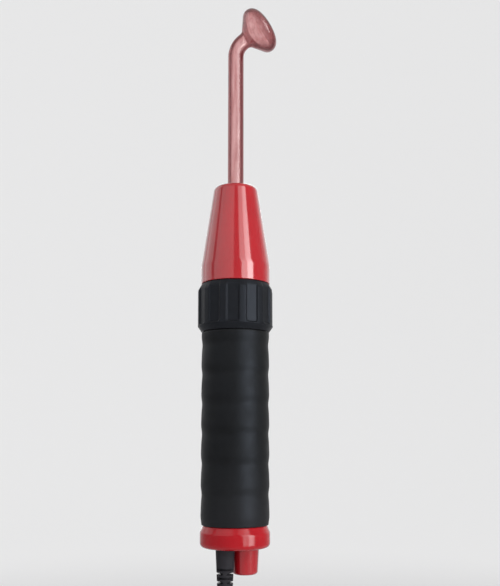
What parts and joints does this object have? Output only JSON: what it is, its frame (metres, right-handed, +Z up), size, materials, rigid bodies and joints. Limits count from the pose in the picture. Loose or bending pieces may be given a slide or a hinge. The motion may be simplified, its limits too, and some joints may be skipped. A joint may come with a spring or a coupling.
{
  "type": "high-frequency electrotherapy wand",
  "caption": "Hand-held high-frequency wand: bent glass mushroom electrode in a tapered nose, fluted screw collar, ringed soft grip, end cap with a strength knob and a corded plug.",
  "frame": {"origin": "on the handle's axis at the middle of the grip", "axes": "+Z up the handle to the electrode, +X towards the side that the electrode bends to"},
  "size_m": [0.0573, 0.0612, 0.6589],
  "materials": {
    "phenolic_black": "satin moulded phenolic",
    "grip_rubber": "soft matt rubber",
    "red_plastic": "glossy moulded red",
    "collar_plastic": "half-gloss black moulding",
    "relief_rubber": "moulded black rubber",
    "cord_jacket": "soft black jacket",
    "plug_plastic": "moulded black",
    "strap": "woven strap",
    "steel": "turned",
    "iron": "soft iron",
    "brass": "turned",
    "aluminium": "spun cap",
    "copper_wire": "enamelled copper winding",
    "cream_plastic": "moulded insulation",
    "phenolic_brown": "laminated insulation",
    "waxed_paper": "wax-dipped wrap",
    "wire_jacket": "wire insulation",
    "seal_rubber": "moulded seal",
    "cement": "set cement",
    "rose_glass": "clear tube with a rosy glow"
  },
  "bodies": {
    "handle": {"body_tube": "phenolic_black", "grip_sleeve": "grip_rubber", "end_cap": "red_plastic", "end_cap_screws": "steel", "knob_bush": "brass", "bush_nut": "brass", "strain_relief": "relief_rubber", "cord_entry": "cord_jacket", "cord_clamp": "cream_plastic", "chassis": "phenolic_brown", "magnet_core": "iron", "magnet_bobbin": "cream_plastic", "magnet_winding": "copper_wire", "magnet_yoke": "iron", "armature_pin": "steel", "contact_post": "phenolic_brown", "contact_leaf": "brass", "fixed_contact": "steel", "capacitor": "waxed_paper", "supply_leads": "wire_jacket", "coil_form": "phenolic_brown", "primary_winding": "copper_wire", "secondary_winding": "copper_wire", "coil_discs": "cream_plastic", "hv_terminal": "brass", "cord_lead": "cord_jacket", "cord_hank": "cord_jacket", "cord_tail": "cord_jacket", "hank_tie": "strap", "plug_body": "plug_plastic", "plug_blades": "brass"},
    "adjuster": {"knob": "red_plastic", "adjuster_spindle": "steel", "knob_set_screw": "steel", "spindle_clip": "steel"},
    "pusher": {"adjuster_nut": "cream_plastic"},
    "beam": {"armature": "iron", "moving_contact": "steel"},
    "nose": {"nose_cone": "red_plastic", "nose_gasket": "seal_rubber", "electrode_socket": "cream_plastic", "socket_leaf": "brass"},
    "collar": {"collar_ring": "collar_plastic"},
    "seal": {"electrode_seal_ring": "seal_rubber"},
    "electrode": {"electrode_glass": "rose_glass", "electrode_ferrule": "aluminium", "electrode_cement": "cement", "electrode_lead_in": "steel"}
  },
  "joints": [
    {"name": "nose_lift", "type": "slide", "parent": "handle", "child": "nose", "axis": [0, 0, 1], "range_m": [0, 0.0051]},
    {"name": "collar_turn", "type": "hinge", "parent": "nose", "child": "collar", "pos_m": [0, 0, 0.082], "axis": [0, 0, 1], "range_deg": [0, 900]},
    {"name": "electrode_pull", "type": "slide", "parent": "nose", "child": "seal", "axis": [0, 0, 1], "range_m": [0, 0.041]},
    {"name": "electrode_spin", "type": "hinge", "parent": "seal", "child": "electrode", "pos_m": [0, 0, 0.1314], "axis": [0, 0, 1], "continuous": true},
    {"name": "knob_turn", "type": "hinge", "parent": "handle", "child": "adjuster", "pos_m": [0.0068, 0.005, -0.09], "axis": [0, 0, 1], "range_deg": [0, 300]},
    {"name": "adjuster_travel", "type": "slide", "parent": "handle", "child": "pusher", "axis": [0, 0, 1], "range_m": [0, 0.0007]},
    {"name": "armature_swing", "type": "hinge", "parent": "handle", "child": "beam", "pos_m": [-0.0125, 0, -0.0445], "axis": [0, 1, 0], "range_deg": [-1.5, 1.5], "stiffness_Nm_per_rad": 0.1}
  ],
  "couplings": [
    {"joint": "nose_lift", "follows": "collar_turn", "m_per_rad": 0.00031831},
    {"joint": "adjuster_travel", "follows": "knob_turn", "m_per_rad": 0.00012732}
  ]
}
